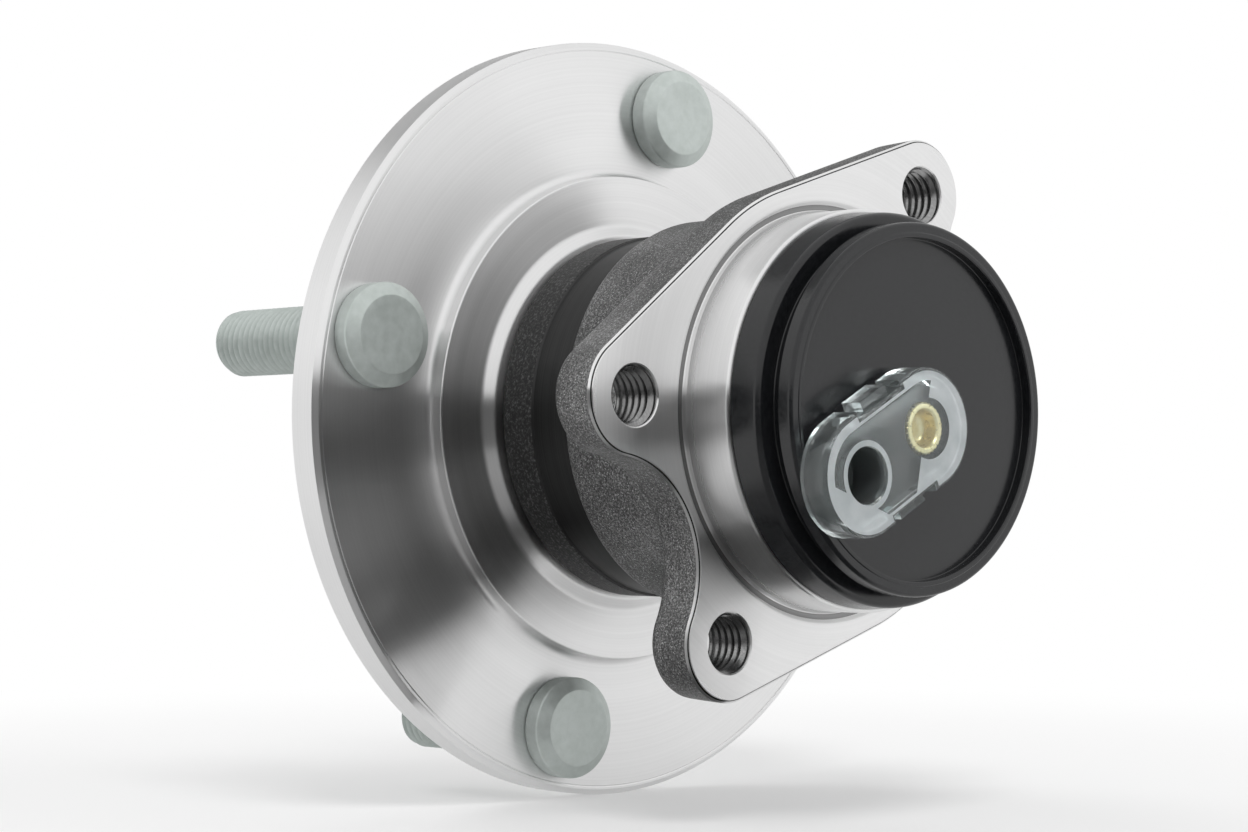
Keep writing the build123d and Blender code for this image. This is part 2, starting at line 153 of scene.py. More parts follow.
def carve(piece, tool, operation="DIFFERENCE"):
    """Cuts tool out of piece, joins it on, or leaves only what both share."""
    modifier = piece.modifiers.new("carve", "BOOLEAN")
    modifier.operation = operation
    modifier.solver = "EXACT"
    modifier.object = tool
    bake(piece)
    bpy.data.objects.remove(tool)
    piece.data.set_sharp_from_angle(angle=sharp_angle)


def add(tree, kind, inputs=None, **settings):
    """One node with its settings and its inputs, which are values or other nodes' sockets."""
    node = tree.nodes.new(kind)
    for name, value in settings.items():
        setattr(node, name, value)
    for name, value in (inputs or {}).items():
        socket = node.inputs[name]
        if isinstance(value, bpy.types.NodeSocket):
            tree.links.new(value, socket)
        else:
            socket.default_value = value
    return node


def calc(tree, operation, a, b=0.5, c=0.5):
    return add(tree, "ShaderNodeMath", {0: a, 1: b, 2: c}, operation=operation).outputs[0]


def noise(tree, place, scale, detail, **inputs):
    values = {"Vector": place, "Scale": scale, "Detail": detail, **inputs}
    return add(tree, "ShaderNodeTexNoise", values).outputs["Fac"]


def remap(tree, level, low, high, least=0.0, most=1.0, **settings):
    """A value that goes from least to most as level goes from low to high."""
    values = {"Value": level, "From Min": low, "From Max": high, "To Min": least, "To Max": most}
    return add(tree, "ShaderNodeMapRange", values, **settings).outputs[0]


def bump(tree, height, strength, distance):
    values = {"Height": height, "Strength": strength, "Distance": distance}
    return add(tree, "ShaderNodeBump", values).outputs[0]


def tint(red, green, blue):
    """Linear colour of a screen colour, each part from 0 to 255."""
    parts = [(v / 255 / 12.92 if v < 10 else ((v / 255 + 0.055) / 1.055) ** 2.4) for v in (red, green, blue)]
    return (*parts, 1)


def grey(level):
    return tint(level, level, level)


def ramp(tree, level, low, high, colours):
    """A colour that runs through colours as level goes from low to high."""
    blend = add(tree, "ShaderNodeValToRGB", {"Fac": remap(tree, level, low, high)})
    stops = blend.color_ramp.elements
    while len(stops) < len(colours):
        stops.new(0.5)
    for i, colour in enumerate(colours):
        stops[i].position = i / (len(colours) - 1)
        stops[i].color = colour
    return blend.outputs[0]


def finish_of(name, **values):
    """A material with its shader, and the object's own coordinates to make patterns from."""
    material = bpy.data.materials.new(name)
    material.use_nodes = True
    tree = material.node_tree
    shader = tree.nodes["Principled BSDF"]
    for key, value in values.items():
        shader.inputs[key.replace("_", " ")].default_value = value
    place = add(tree, "ShaderNodeTexCoord").outputs["Object"]
    return material, tree, shader, place


def feed(tree, shader, **sources):
    for key, source in sources.items():
        tree.links.new(source, shader.inputs[key.replace("_", " ")])


def turned_metal(name, low, high, rough, spread, relief=0.03):
    """Bare steel off a lathe, between two screen greys: fine rings about the Y axis, which draw
    the reflections out radially by as much as spread says."""
    groove_scale, band_scale, cloud_scale = 2600.0, 2600.0 / 12, 90.0
    material, tree, shader, place = finish_of(name, Metallic=1.0, Anisotropic=spread, Anisotropic_Rotation=0.25)
    parts = add(tree, "ShaderNodeSeparateXYZ", {0: place}).outputs
    flat = add(tree, "ShaderNodeCombineXYZ", {"X": parts["X"], "Y": parts["Z"]}).outputs[0]
    radius = add(tree, "ShaderNodeVectorMath", {0: flat}, operation="LENGTH").outputs["Value"]
    ring = add(tree, "ShaderNodeCombineXYZ", {"X": radius, "Y": parts["Y"]}).outputs[0]
    fine, broad = noise(tree, ring, groove_scale, 4.0), noise(tree, ring, band_scale, 3.0)
    cloud = calc(tree, "MULTIPLY", noise(tree, place, cloud_scale, 4.0), 0.15)
    mixed = calc(tree, "MULTIPLY_ADD", fine, 0.55, calc(tree, "MULTIPLY_ADD", broad, 0.3, cloud))
    feed(tree, shader, Base_Color=ramp(tree, mixed, 0.32, 0.68, [grey(low), grey(high)]),
         Roughness=remap(tree, broad, 0.3, 0.7, rough - 0.02, rough + 0.02),
         Normal=bump(tree, fine, relief, 0.00002),
         Tangent=add(tree, "ShaderNodeTangent", direction_type="RADIAL", axis="Y").outputs[0])
    return material


turned_steel = turned_metal("turned_steel", 230, 240, 0.29, spread=1.0)

flange_radius, flange_thickness, edge_chamfer = 68.5, 7.2, 0.9
line_radius, line_half, line_depth = flange_radius - 1.5, 0.15, 0.12
pilot_radius, pilot_height, pilot_chamfer, pilot_relief, pilot_foot = 33.4, 9.0, 1.5, 0.6, 2.0
dish_mouth, dish_radius, dish_depth, centre_radius, centre_point = 26.0, 15.0, 13.0, 3.2, 16.4
step_radius, step_depth = 43.9, 10.5
shoulder_root, shoulder_radius, shoulder_depth = 34.8, 33.0, 12.0
land_radius, land_end = 23.0, 18.4
row_depths, ball_pitch, race_radius, inner_shoulder, inner_land = (25.0, 50.5), 24.0, 4.8225, 21.5, 20.4
spindle_radius, ring_start, ring_end = 14.0, 41.0, 62.0
collar_radius, collar_height, collar_bore, bore_depth = 18.6, 2.6, 6.5, 47.0
flange_skin = flange_radius - edge_chamfer

hub_section = rounded(
    [
        (0, centre_point), (centre_radius, dish_depth, 0.2), (dish_radius, dish_depth, 4),
        (dish_mouth, -pilot_height, 1), (pilot_radius - pilot_chamfer, -pilot_height, 0.4),
        (pilot_radius, pilot_chamfer - pilot_height, 0.4), (pilot_radius, -pilot_foot, 0.15),
        (pilot_radius - pilot_relief, -pilot_foot, 0.15), (pilot_radius - pilot_relief, pilot_relief, 0.3),
        (pilot_radius + pilot_foot, pilot_relief, 0.3), (pilot_radius + pilot_foot, 0, 0.12),
        (flange_skin, 0, 0.15), (flange_radius, edge_chamfer, 0.15),
        (flange_radius, flange_thickness - edge_chamfer, 0.15), (flange_skin, flange_thickness, 0.15),
        (line_radius + line_half, flange_thickness, 0.1), (line_radius, flange_thickness - line_depth, 0.05),
        (line_radius - line_half, flange_thickness, 0.1),
        (step_radius, flange_thickness, 1.9), (step_radius, step_depth, 0.3), (shoulder_root, step_depth, 1.2),
        (shoulder_radius, shoulder_depth, 0.8), (land_radius, shoulder_depth, 0), (land_radius, land_end, 0),
        (inner_shoulder, land_end + 1.5, 0),
        *raceway(ball_pitch, row_depths[0], race_radius, inner_shoulder, inner_land),
        (inner_land, ring_start, 0), (spindle_radius, ring_start, 0), (spindle_radius, ring_end, 0),
        (collar_radius, ring_end, 0.4), (collar_radius - 1, ring_end + collar_height, 1.6),
        (collar_bore, ring_end + collar_height - 0.8, 1.2), (collar_bore, bore_depth + 3, 0.2), (0, bore_depth),
    ]
)
hub = solid("hub_forging", *loft(circles(hub_section, 384)), [turned_steel])


def bore(spots, section, materials, skin=0, steps=64):
    """Turned tools on axes along Y, one at each (x, z) spot, to cut with or to join on."""
    points, faces = loft(circles(rounded(section, 0), steps))
    all_points = np.concatenate([points + np.array([x, 0, z]) * MM for x, z in spots])
    all_faces = np.concatenate([faces + i * len(points) for i in range(len(spots))])
    return solid("tool", all_points, all_faces, materials, skin)


bolt_circle, stud_count, stud_turn = 114.3, 4, 166.8
stud_hole, hole_chamfer, hole_depth = 6.3, 0.6, 1.6
turns = np.radians(stud_turn + 360 * np.arange(stud_count) / stud_count)
stud_spots = bolt_circle / 2 * np.stack([np.cos(turns), np.sin(turns)], axis=1)
carve(hub, bore(stud_spots, [
    (0, -1), (stud_hole + hole_chamfer + 1, -1), (stud_hole, hole_chamfer),
    (stud_hole, hole_depth), (0, hole_depth)], [turned_steel]))
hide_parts("hub_flange")
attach(hub, "hub")


# Wheel studs. Cold-headed steel with a zinc-flake coat, knurled at the neck and pressed
# in the flange from the inboard side; the rolled M12 thread stands out on the wheel side.

THREAD_SIZES = ("Crest radius", "Flank depth", "Pitch", "Start", "Length", "End chamfer", "Wall radius")


def new_tree(name, inputs):
    """A node tree with inputs of the given kinds, and one geometry output."""
    tree = bpy.data.node_groups.new(name, "GeometryNodeTree")
    for key, kind in inputs.items():
        tree.interface.new_socket(key, in_out="INPUT", socket_type=f"NodeSocket{kind}")
    tree.interface.new_socket("Geometry", in_out="OUTPUT", socket_type="NodeSocketGeometry")
    return tree, add(tree, "NodeGroupInput").outputs


def thread_tree(name, around=56, per_turn=8):
    """A screw thread about the Y axis as a closed solid. Its wall radius is 0 for a rod; a larger
    one than the thread's makes a sleeve with the thread inside. A flank depth below 0 cuts inwards.
    The profile is flat up to crest_end and from root_start on, as shares of half a pitch."""
    crest_end, root_start = 0.125, 0.75
    tree, given = new_tree(name, dict.fromkeys(THREAD_SIZES, "Float"))
    turns = calc(tree, "ADD", calc(tree, "CEIL", calc(tree, "DIVIDE", given["Length"], given["Pitch"])), 1)
    rows = calc(tree, "ADD", calc(tree, "MULTIPLY", turns, per_turn), 4)
    grid = add(tree, "GeometryNodeMeshGrid", {
        "Size X": 1.0, "Size Y": 1.0, "Vertices X": rows, "Vertices Y": around + 1})
    spot = add(tree, "ShaderNodeSeparateXYZ", {0: add(tree, "GeometryNodeInputPosition").outputs[0]})
    share = calc(tree, "ADD", spot.outputs["Y"], 0.5)
    last = calc(tree, "SUBTRACT", rows, 1)
    row = calc(tree, "ROUND", calc(tree, "MULTIPLY", calc(tree, "ADD", spot.outputs["X"], 0.5), last))
    wind = calc(tree, "DIVIDE", calc(tree, "SUBTRACT", row, 2), per_turn)
    wind = calc(tree, "ADD", wind, calc(tree, "SUBTRACT", share, 1))
    along = calc(tree, "MAXIMUM", calc(tree, "MULTIPLY", wind, given["Pitch"]), 0)
    along = calc(tree, "MINIMUM", along, given["Length"])
    phase = calc(tree, "SUBTRACT", calc(tree, "DIVIDE", along, given["Pitch"]), share)
    phase = calc(tree, "FRACT", calc(tree, "ADD", phase, 2))
    wave = calc(tree, "ABSOLUTE", calc(tree, "MULTIPLY_ADD", phase, 2, -1))
    flank = remap(tree, wave, crest_end, root_start)
    cut = calc(tree, "MULTIPLY_ADD", flank, given["Flank depth"], given["Crest radius"])
    side = calc(tree, "SIGN", given["Flank depth"], 0)
    left = calc(tree, "SUBTRACT", given["Length"], along)
    crest = calc(tree, "MULTIPLY", side, given["Crest radius"])
    cone = calc(tree, "ADD", crest, calc(tree, "SUBTRACT", given["End chamfer"], left))
    cut = calc(tree, "MULTIPLY", side, calc(tree, "MAXIMUM", calc(tree, "MULTIPLY", side, cut), cone))
    first = calc(tree, "LESS_THAN", row, 0.5)
    early = calc(tree, "LESS_THAN", row, 1.5)
    late = calc(tree, "GREATER_THAN", row, calc(tree, "SUBTRACT", last, 0.5))
    walls, far = calc(tree, "MAXIMUM", early, late), calc(tree, "MAXIMUM", first, late)
    radius, height = (
        add(tree, "ShaderNodeMix", {"Factor": share_of, "A": a, "B": b}, data_type="FLOAT").outputs[0]
        for share_of, a, b in ((walls, cut, given["Wall radius"]), (far, along, given["Length"]))
    )
    turn = calc(tree, "MULTIPLY", share, 2 * math.pi)
    place = add(tree, "ShaderNodeCombineXYZ", {
        "X": calc(tree, "MULTIPLY", radius, calc(tree, "COSINE", turn)),
        "Y": calc(tree, "ADD", height, given["Start"]),
        "Z": calc(tree, "MULTIPLY", radius, calc(tree, "SINE", turn))})
    shaped = add(tree, "GeometryNodeSetPosition", {
        "Geometry": grid.outputs["Mesh"], "Position": place.outputs[0]})
    merged = add(tree, "GeometryNodeMergeByDistance", {"Geometry": shaped.outputs[0], "Distance": 2e-6})
    add(tree, "NodeGroupOutput", {"Geometry": merged.outputs[0]})
    return tree


screw_thread = thread_tree("screw_thread")


def threaded(tree, given):
    thread = add(tree, "GeometryNodeGroup", node_tree=screw_thread)
    for key in THREAD_SIZES:
        tree.links.new(given[key], thread.inputs[key])
    return thread.outputs[0]


def place_copies(tree, given, seats, model, rotation):
    """Ends a tree with the model at each seat, as real geometry in the given material."""
    placed = add(tree, "GeometryNodeInstanceOnPoints", {
        "Points": seats, "Instance": model, "Rotation": rotation})
    real = add(tree, "GeometryNodeRealizeInstances", {"Geometry": placed.outputs[0]})
    painted = add(tree, "GeometryNodeSetMaterial", {"Geometry": real.outputs[0], "Material": given["Material"]})
    add(tree, "NodeGroupOutput", {"Geometry": painted.outputs[0]})


def copies_tree(name, with_thread):
    """Copies of the piece's own mesh round an axis along Y, each turned to face outwards."""
    inputs = {"Geometry": "Geometry", "Count": "Int", "Circle radius": "Float", "First angle": "Float",
              "Centre": "Vector", "Material": "Material"}
    tree, given = new_tree(name, {**inputs, **dict.fromkeys(THREAD_SIZES if with_thread else (), "Float")})
    model = given["Geometry"]
    if with_thread:
        joined = add(tree, "GeometryNodeJoinGeometry")
        tree.links.new(threaded(tree, given), joined.inputs[0])
        tree.links.new(model, joined.inputs[0])
        model = joined.outputs[0]
    step = calc(tree, "DIVIDE", 2 * math.pi, given["Count"])
    index = add(tree, "GeometryNodeInputIndex").outputs[0]
    turn = calc(tree, "MULTIPLY_ADD", index, step, given["First angle"])
    offset = add(tree, "ShaderNodeCombineXYZ", {
        "X": calc(tree, "MULTIPLY", given["Circle radius"], calc(tree, "COSINE", turn)),
        "Z": calc(tree, "MULTIPLY", given["Circle radius"], calc(tree, "SINE", turn))})
    spot = add(tree, "ShaderNodeVectorMath", {0: offset.outputs[0], 1: given["Centre"]}, operation="ADD")
    seats = add(tree, "GeometryNodePoints", {"Count": given["Count"], "Position": spot.outputs[0]})
    facing = add(tree, "ShaderNodeCombineXYZ", {"Y": calc(tree, "MULTIPLY", turn, -1)})
    rotation = add(tree, "FunctionNodeEulerToRotation", {0: facing.outputs[0]})
    place_copies(tree, given, seats.outputs[0], model, rotation.outputs[0])
    return tree


round_copies = copies_tree("round_copies", False)
round_threads = copies_tree("round_threads", True)


def grow(piece, tree, **values):
    """Runs a node tree on the piece with its named inputs, and keeps the result as a plain mesh."""
    modifier = piece.modifiers.new("grow", "NODES")
    modifier.node_group = tree
    for entry in tree.interface.items_tree:
        key = entry.name.replace(" ", "_")
        if entry.in_out == "INPUT" and key in values:
            modifier[entry.identifier] = values[key]
    bake(piece)
    finish_mesh(piece.data)


coated_steel, tree, shader, place = finish_of("coated_steel", Metallic=0.55)
mottle, patch = noise(tree, place, 650.0, 5.0), noise(tree, place, 60.0, 3.0)
level = calc(tree, "MULTIPLY_ADD", mottle, 0.6, calc(tree, "MULTIPLY", patch, 0.4))
feed(tree, shader, Base_Color=ramp(tree, level, 0.35, 0.65, [tint(186, 194, 190), tint(204, 211, 208)]),
     Roughness=remap(tree, mottle, 0.3, 0.7, 0.40, 0.52), Normal=bump(tree, mottle, 0.12, 0.00002))

thread_pitch = 1.5
stud_radius, stud_length, stud_flank, stud_chamfer, thread_foot = 5.9, 32.5, 0.85, 1.3, 2.0
neck_radius, neck_start = 6.2, 1.2
head_radius, head_flat, head_depth, head_chamfer, head_dimple = 9.0, 6.7, 4.6, 1.3, 0.05
head_seat, head_end = flange_thickness + 0.02, flange_thickness + head_depth
stud_section = rounded(
    [
        (0, neck_start), (neck_radius, neck_start, 0.3), (neck_radius, head_seat, 0),
        (head_radius, head_seat, 0.6), (head_radius, head_end - head_chamfer, 0.5),
        (head_flat + 0.1, head_end, 0.5), (head_flat - 1.4, head_end, 0.6),
        (head_flat - 2.2, head_end - head_dimple, 0.6), (0, head_end - head_dimple),
    ]
)
studs = solid("wheel_studs", *loft(circles(stud_section, 96)), [coated_steel])
grow(studs, round_threads, Count=stud_count, Circle_radius=bolt_circle / 2 * MM,
     First_angle=math.radians(stud_turn), Material=coated_steel, Crest_radius=stud_radius * MM,
     Flank_depth=-stud_flank * MM, Pitch=thread_pitch * MM, Start=-thread_foot * MM,
     Length=(stud_length + thread_foot) * MM, End_chamfer=stud_chamfer * MM)
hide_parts("wheel_stud_1", "wheel_stud_2", "wheel_stud_3", "wheel_stud_4")
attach(studs, "hub")


# Outer ring. A hot-forged ring bolted to the knuckle by four tapped ears. The barrel's front,
# the mounting face, the spigot and the bore are turned; the rest keeps its blasted forging skin.

ring_forging, tree, shader, place = finish_of("ring_forging", Metallic=0.7)
grain = noise(tree, place, 2900.0, 3.0, Roughness=0.65)
pits = add(tree, "ShaderNodeTexVoronoi", {"Vector": place, "Scale": 2100.0}).outputs["Distance"]
# Sparse bright specks mixed into the skin's colour are painted glints.
glint, patch = noise(tree, place, 3600.0, 1.0), noise(tree, place, 70.0, 3.0)
level = calc(tree, "MULTIPLY_ADD", grain, 0.75, calc(tree, "MULTIPLY", patch, 0.25))
skin = ramp(tree, level, 0.36, 0.64, [grey(54), grey(98), grey(170)])
painted_glints = remap(tree, glint, 0.63, 0.72)
mixed = add(tree, "ShaderNodeMix", {"Factor": painted_glints, "A": skin, "B": grey(200)}, data_type="RGBA")
feed(tree, shader, Base_Color=mixed.outputs[2], Roughness=remap(tree, grain, 0.3, 0.7, 0.38, 0.62),
     Normal=bump(tree, calc(tree, "MULTIPLY_ADD", pits, 0.5, grain), 0.6, 0.00012))

scaled_steel, tree, shader, place = finish_of("scaled_steel", Metallic=0.6, Roughness=0.5)
grain = noise(tree, place, 2000.0, 4.0, Roughness=0.7)
feed(tree, shader, Base_Color=ramp(tree, grain, 0.38, 0.66, [grey(40), grey(54), grey(100)]),
     Normal=bump(tree, grain, 0.5, 0.0001))

dark_turned = turned_metal("dark_turned", 50, 72, 0.4, spread=0.6)
# shaded_steel is turned steel in a darker colour: painted shade for the recessed relief groove beside the
# spigot.
shaded_steel = turned_metal("shaded_steel", 128, 152, 0.34, spread=0.8)
outer_skins = [ring_forging, turned_steel, dark_turned, scaled_steel, shaded_steel]
FORGED, TURNED, DARK, SCALED, SHADED = range(5)

barrel_radius, barrel_start, forging_start, forging_radius = 32.3, 13.2, 30.5, 34.2
scale_end, scale_step = 20.5, 0.4
mount_depth, mount_thickness, mount_turn = 60.6, 10.0, 27.9
half_long, half_short = 39.1, 22.75
boss_radius, waist_radius, ear_radius = 38.8, 37.6, 9.8
spigot_radius, spigot_end, relief_width, relief_depth = 33.8, 69.9, 2.0, 0.7
seal_bore, outer_open, outer_land, cap_bore = 29.4, 27.9, 26.0, 28.9
mouth_radius, cap_seat_end, open_end = 31.2, 58.5, 57.5
face_chamfer, rear_round, draft = 0.6, 2.4, 0.05
barrel_foot, barrel_swell, root_radius, root_blend, bend_steps = 2.0, 0.35, 36.2, 3.2, 6


def ear_outline(step=0.5):
    """Points of the mounting flange's outline, with their outward directions: round boss, four
    ears, straight long sides and hollowed short sides."""
    ear = np.array([half_long, half_short])
    far = np.hypot(*ear)
    side = math.atan2(half_short, half_long) + math.acos((boss_radius - ear_radius) / far)
    overlap = ear_radius - waist_radius
    hollow = np.array([(far**2 - overlap**2) / (2 * (half_long + overlap)), 0])
    hollow_radius = hollow[0] - waist_radius
    meet = math.atan2(*(ear - hollow)[::-1])
    quarter = []

    def arc(centre, radius, start, end, outward):
        for a in np.linspace(start, end, max(3, int(abs(end - start) * radius / step)) + 1)[:-1]:
            way = np.array([math.cos(a), math.sin(a)])
            quarter.append((*(centre + radius * way), *(outward * way)))

    arc(hollow, hollow_radius, math.pi, meet, -1)
    arc(ear, ear_radius, meet - math.pi, side, 1)
    way = np.array([math.cos(side), math.sin(side)])
    begin, finish = ear + ear_radius * way, boss_radius * way
    for share in np.linspace(0, 1, int(np.hypot(*(finish - begin)) / step))[:-1]:
        quarter.append((*(begin + share * (finish - begin)), *way))
    arc(np.zeros(2), boss_radius, side, math.pi / 2, 1)
    quarter.append((0, boss_radius, 0, 1))
    quarter = np.array(quarter)
    half = np.concatenate([quarter, (quarter * [-1, 1, -1, 1])[::-1][1:]])[:-1]
    whole = np.concatenate([half, -half])
    a = math.radians(mount_turn)
    spin = np.array([[math.cos(a), math.sin(a)], [-math.sin(a), math.cos(a)]])
    return whole[:, :2] @ spin, whole[:, 2:] @ spin


outline, outward = ear_outline()
turns = np.arctan2(outline[:, 1], outline[:, 0])
compass = np.stack([np.cos(turns), np.sin(turns)], axis=1)


def ring_at(flat, depth):
    """A ring of (x, z) points at a depth, in metres."""
    return np.stack([flat[:, 0], -np.broadcast_to(depth, len(flat)), flat[:, 1]], axis=1) * MM


rings, skins = [], []


def add_ring(flat, depth, skin):
    rings.append(ring_at(flat, depth))
    skins.append(skin)


front = rounded(
    [
        (seal_bore, 20, 0), (seal_bore, barrel_start, 0.25), (barrel_radius, barrel_start, 0.4),
        (barrel_radius, scale_end, 0.1), (barrel_radius - scale_step, scale_end + scale_step, 0.1),
        (barrel_radius - scale_step, forging_start, 0),
    ]
)
for radius, depth in front[:-1]:
    scaled = barrel_start + 0.3 < depth < scale_end + 0.1 and radius > seal_bore + 1.6
    add_ring(compass * radius, depth, SCALED if scaled else DARK)

rear_depth = mount_depth - mount_thickness
back_reach = np.linalg.norm(outline - outward * (rear_round + draft * mount_thickness), axis=1)
root = np.minimum(root_radius, back_reach - 0.25)
blend = np.minimum(root_blend, (back_reach - root) * 0.6)
for radius, rise in (
    (barrel_radius - scale_step, 0), (forging_radius - 1, 0.25),
    (forging_radius - 0.3, 0.9), (forging_radius, 1.9),
):
    add_ring(compass * radius, forging_start + rise, FORGED)
swell_start, swell_end = forging_start + barrel_foot, rear_depth - root_blend - 0.2
for share in (0.35, 0.7, 0.9):
    depth = swell_start + share * (swell_end - swell_start)
    add_ring(compass * (forging_radius + barrel_swell * share**3), depth, FORGED)
foot = forging_radius + barrel_swell + 0.05
for k in range(bend_steps + 1):
    share = k / bend_steps
    a = math.pi / 2 * share
    reach = foot + (root - foot) * math.sin(a) ** 0.8 + blend * (1 - math.cos(a)) * share
    add_ring(compass * reach[:, None], rear_depth - blend * (1 - math.sin(a)) - 0.8 * (1 - share), FORGED)
for k in range(bend_steps + 1):
    a = math.pi / 2 * k / bend_steps
    inset = draft * mount_thickness + rear_round * (1 - math.sin(a)) - 0.12 * math.sin(a)
    add_ring(outline - outward * inset, rear_depth + rear_round * (1 - math.cos(a)), FORGED)
for share in (0.4, 0.8, 1.0):
    depth = rear_depth + rear_round + share * (mount_thickness - rear_round - face_chamfer)
    inset = draft * (mount_depth - face_chamfer - depth)
    add_ring(outline - outward * inset, depth, FORGED if share < 1 else TURNED)
# The DARK ring inside the face chamfer is painted shade: a fine dark line at the chamfer's inner edge, between
# bright turned rings.
for inset, rise, skin in (
    (0.02, face_chamfer - 0.03, TURNED), (0.12, face_chamfer - 0.14, TURNED), (face_chamfer - 0.3, 0.28, DARK),
    (face_chamfer - 0.12, 0.1, TURNED), (face_chamfer, 0.01, TURNED), (face_chamfer + 0.12, 0.0, TURNED),
):
    add_ring(outline - outward * inset, mount_depth - rise, skin)

relief_floor = mount_depth - relief_depth
spigot = rounded(
    [
        (spigot_radius + 2.8, mount_depth, 0), (spigot_radius + relief_width, mount_depth, 0.5),
        (spigot_radius + 1.3, relief_floor, 0.5), (spigot_radius + 0.35, relief_floor, 0.5),
        (spigot_radius, mount_depth, 0.3), (spigot_radius, spigot_end, 0.5), (mouth_radius, spigot_end, 0),
        (cap_bore, spigot_end - 2.32, 0), (cap_bore, cap_seat_end, 0), (outer_open, open_end, 0),
        *raceway(ball_pitch, row_depths[1], race_radius, outer_open, outer_land),
        *raceway(ball_pitch, row_depths[0], race_radius, outer_land, outer_open),
        (outer_open, land_end, 0), (seal_bore, land_end, 0), (seal_bore, land_end - 0.1, 0),
    ]
)
for radius, depth in spigot:
    # The relief's sloped wall and floor take shaded_steel: painted shade in the recess.
    in_relief = spigot_radius + 0.5 < radius < spigot_radius + 1.4 and depth < spigot_end
    add_ring(compass * radius, depth, SHADED if in_relief else TURNED)

outer = solid("outer_ring_forging", *loft(np.array(rings)), outer_skins, np.repeat(skins, len(outline)))
a = math.radians(mount_turn)
ear_spots = [(half_long * x, half_short * z) for x, z in ((1, 1), (-1, 1), (-1, -1), (1, -1))]
hole_spots = [(x * math.cos(a) - z * math.sin(a), x * math.sin(a) + z * math.cos(a)) for x, z in ear_spots]
hole_radius, countersink, thread_crest, thread_flank, thread_inset, thread_start = 5.0, 0.2, 4.2, 0.8, 0.4, 0.2
carve(outer, bore(hole_spots, [
    (0, rear_depth - 1), (hole_radius + 0.03, rear_depth - 1), (hole_radius + 0.03, mount_depth - countersink),
    (hole_radius + countersink + 0.5, mount_depth + 0.5), (0, mount_depth + 0.5)], outer_skins, TURNED))
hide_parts("outer_ring")
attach(outer, "housing")

# The ears' threads are thin sleeves in their holes, each with its chamfered end inboard.
tapped_steel = turned_metal("tapped_steel", 130, 170, 0.26, spread=0.0, relief=0.05)
seat_threads, given = new_tree(
    "seat_threads", {"Geometry": "Geometry", **dict.fromkeys(THREAD_SIZES, "Float"), "Material": "Material"})
place_copies(seat_threads, given, given["Geometry"], threaded(seat_threads, given), (math.pi, 0, 0))
seat_mesh = bpy.data.meshes.new("ear_threads")
seat_mesh.from_pydata([(x * MM, 0, z * MM) for x, z in hole_spots], [], [])
seat_mesh.materials.append(tapped_steel)
ear_threads = put_in_scene("ear_threads", seat_mesh)
grow(ear_threads, seat_threads, Crest_radius=thread_crest * MM, Flank_depth=thread_flank * MM,
     Pitch=thread_pitch * MM, Start=(rear_depth + thread_start) * MM,
     Length=(mount_thickness - thread_inset - thread_start) * MM, End_chamfer=thread_flank * MM,
     Wall_radius=(hole_radius + 0.2) * MM, Material=tapped_steel)
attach(ear_threads, "housing")


# Outboard seal. A pressed steel case with a moulded rubber lip runs on an angle ring that is
# pressed on the hub; it closes the gap between the hub's shoulder and the barrel.

def plain_finish(name, low, high, metal, rough, scale=900.0, depth=0.00003):
    """A finish with a fine mottle of two screen colours and a shallow relief."""
    material, tree, shader, place = finish_of(name, Metallic=metal)
    spots = noise(tree, place, scale, 4.0)
    feed(tree, shader, Base_Color=ramp(tree, spots, 0.35, 0.65, [tint(*low), tint(*high)]),
         Roughness=remap(tree, spots, 0.3, 0.7, rough - 0.05, rough + 0.05),
         Normal=bump(tree, spots, 0.3, depth))
    return material


def paint(material, *names):
    for name in names:
        slots = nodes[name].data.materials
        slots.clear()
        slots.append(material)


sheet_steel = plain_finish("sheet_steel", (176, 178, 180), (200, 202, 204), 1.0, 0.32)
seal_rubber = plain_finish("seal_rubber", (24, 24, 26), (34, 34, 36), 0.0, 0.62, 1400.0)
paint(sheet_steel, "seal_flinger", "seal_case")
paint(seal_rubber, "seal_lip")


# Ball rows. Twelve hardened balls a side run in ground raceways. A moulded cage with open
# pockets snaps over each row. The inboard raceway is a separate ring, pressed on the spindle.

bearing_steel = plain_finish("bearing_steel", (206, 208, 210), (220, 221, 222), 1.0, 0.14, 300.0, 0.000004)
ball_radius, ball_count = 4.7625, 12
arc = [(ball_radius * math.sin(a), ball_radius * math.cos(a)) for a in np.linspace(0, math.pi, 25)]
for row, depth in zip(("outboard", "inboard"), row_depths):
    balls = solid(f"{row}_ball_set", *loft(circles(np.array(arc), 40), loop=False), [bearing_steel])
    grow(balls, round_copies, Count=ball_count, Circle_radius=ball_pitch * MM,
         First_angle=math.pi / ball_count, Centre=(0, -depth * MM, 0), Material=bearing_steel)
    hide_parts(f"{row}_balls")
    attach(balls, f"{row}_row")
cage_plastic = plain_finish("cage_plastic", (196, 182, 146), (212, 198, 162), 0.0, 0.45, 700.0)
paint(bearing_steel, "inner_ring")
paint(cage_plastic, "outboard_cage", "inboard_cage")


# Encoder. A ring of magnetised rubber on a pressed steel carrier turns with the inner ring,
# so that the speed sensor in the cap can read it.

encoder_rubber = plain_finish("encoder_rubber", (40, 38, 37), (54, 51, 49), 0.0, 0.55, 1100.0)
paint(encoder_rubber, "encoder_ring")
paint(sheet_steel, "encoder_carrier")


# Cap. Moulded in glass-filled nylon round a steel sleeve and pressed in the spigot. Its wall
# has a groove and its floor is recessed, with a raised seat for the sensor and its screw.

